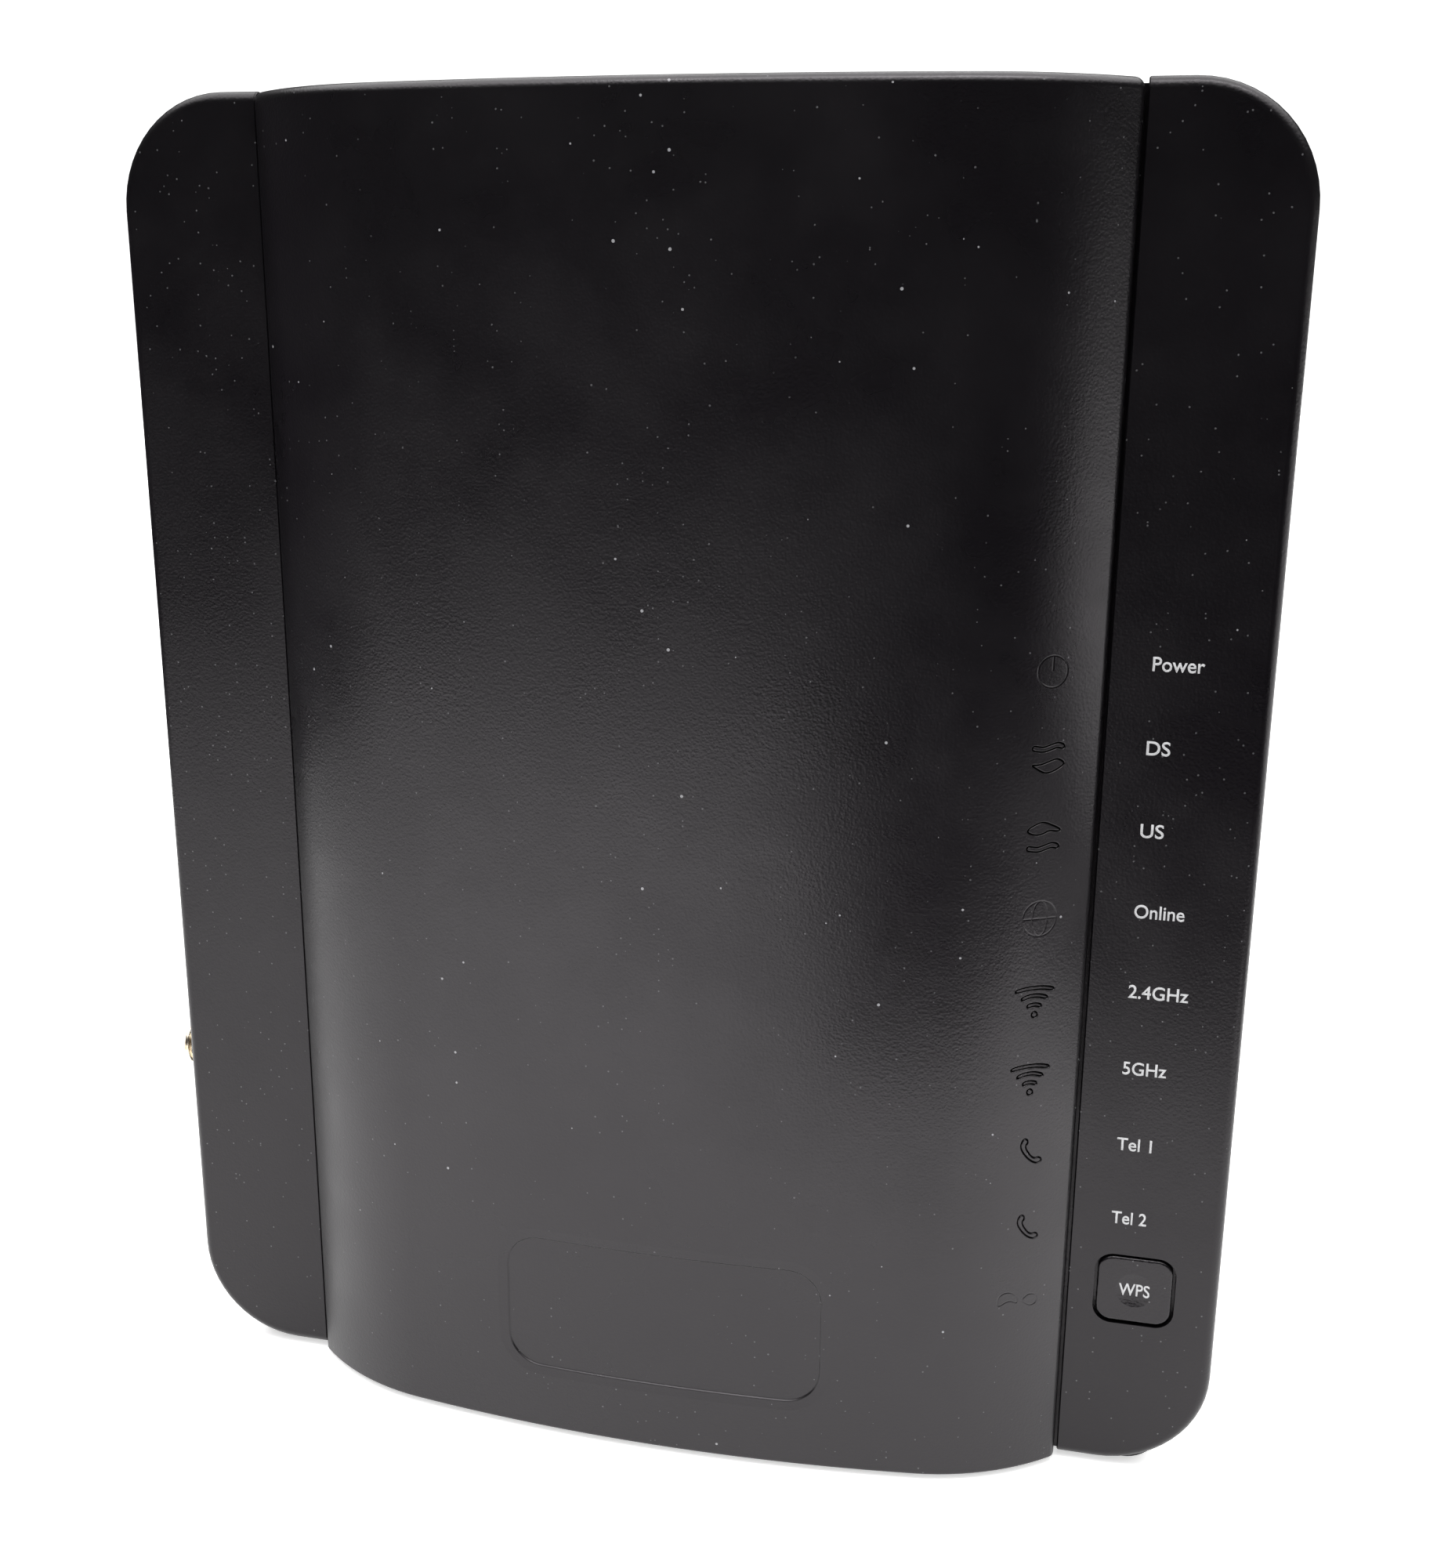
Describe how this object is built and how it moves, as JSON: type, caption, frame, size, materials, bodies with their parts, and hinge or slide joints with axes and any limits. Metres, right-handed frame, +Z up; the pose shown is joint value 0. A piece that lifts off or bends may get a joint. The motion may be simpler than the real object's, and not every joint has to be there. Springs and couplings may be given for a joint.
{
  "type": "cable modem",
  "caption": "Upright cable modem with a bulged centre panel between flat wings, indicator rows, a pairing button and a column of ports on the left side.",
  "frame": {"origin": "on the table, below the centre of the bounding box, which the coaxial port widens to the left", "axes": "+X to the right as seen from the front, +Y back, +Z up"},
  "size_m": [0.214, 0.056, 0.249],
  "materials": {
    "wing_plastic": "matte, fine spark-eroded grain",
    "panel_plastic": "satin, fine spark-eroded grain",
    "rear_plastic": "matte, fine spark-eroded grain",
    "button_plastic": "satin",
    "foot_rubber": "matte",
    "label_paper": "satin",
    "black_plastic": "satin",
    "switch_plastic": "satin",
    "circuit_board": "satin solder mask",
    "port_metal": "plated, polished",
    "steel_sheet": "tin plated",
    "contact_gold": "gold plated",
    "white_plastic": "gloss",
    "clear_plastic": "clear",
    "led_resin": "clear",
    "chip_resin": "matte moulding compound",
    "sink_metal": "black anodised",
    "pad_rubber": "soft",
    "can_metal": "sleeved cans",
    "screw_steel": "zinc plated"
  },
  "bodies": {
    "casing": {"front_bezel": "wing_plastic", "centre_panel": "panel_plastic", "rear_cover": "rear_plastic", "rubber_feet": "foot_rubber", "rating_label": "label_paper", "pairing_switch_body": "black_plastic", "reset_switch_body": "black_plastic", "led_board": "circuit_board", "status_leds": "led_resin", "light_guides": "clear_plastic", "led_board_screws": "screw_steel", "main_board": "circuit_board", "board_screws": "screw_steel", "cover_screws": "screw_steel", "main_processor": "chip_resin", "thermal_pad": "pad_rubber", "heatsink": "sink_metal", "memory_chips": "chip_resin", "flash_chip": "chip_resin", "tuner_shield": "steel_sheet", "wireless_shields": "steel_sheet", "ethernet_magnetics": "chip_resin", "line_chips": "chip_resin", "inductors": "chip_resin", "capacitors": "can_metal", "coax_connector_body": "port_metal", "coax_insulator": "white_plastic", "coax_contact": "contact_gold", "coax_nut": "port_metal", "coax_washer": "port_metal", "ethernet_jack_housing": "black_plastic", "ethernet_jack_shield": "steel_sheet", "ethernet_contacts": "contact_gold", "phone_jack_housing": "black_plastic", "phone_contacts": "contact_gold", "usb_shell": "steel_sheet", "usb_tongue": "white_plastic", "usb_contacts": "contact_gold", "power_jack_body": "black_plastic", "power_jack_pin": "steel_sheet", "power_jack_spring": "steel_sheet", "ribbon_connectors": "white_plastic", "ribbon_cable": "white_plastic", "antenna_boards": "circuit_board", "antenna_leads": "black_plastic"},
    "pairing_button": {"pairing_button": "button_plastic"},
    "pairing_plunger": {"pairing_switch_plunger": "switch_plastic"},
    "reset_plunger": {"reset_switch_plunger": "switch_plastic"}
  },
  "joints": [
    {"name": "pairing_button_press", "type": "slide", "parent": "casing", "child": "pairing_button", "axis": [0, 1, 0], "range_m": [0, 0.0006], "stiffness_N_per_m": 2500},
    {"name": "pairing_plunger_press", "type": "slide", "parent": "casing", "child": "pairing_plunger", "axis": [0, 1, 0], "range_m": [0, 0.00025]},
    {"name": "reset_press", "type": "slide", "parent": "casing", "child": "reset_plunger", "axis": [1, 0, 0], "range_m": [0, 0.00025], "stiffness_N_per_m": 6000}
  ],
  "couplings": [
    {"joint": "pairing_plunger_press", "follows": "pairing_button_press", "ratio": 0.4166}
  ]
}
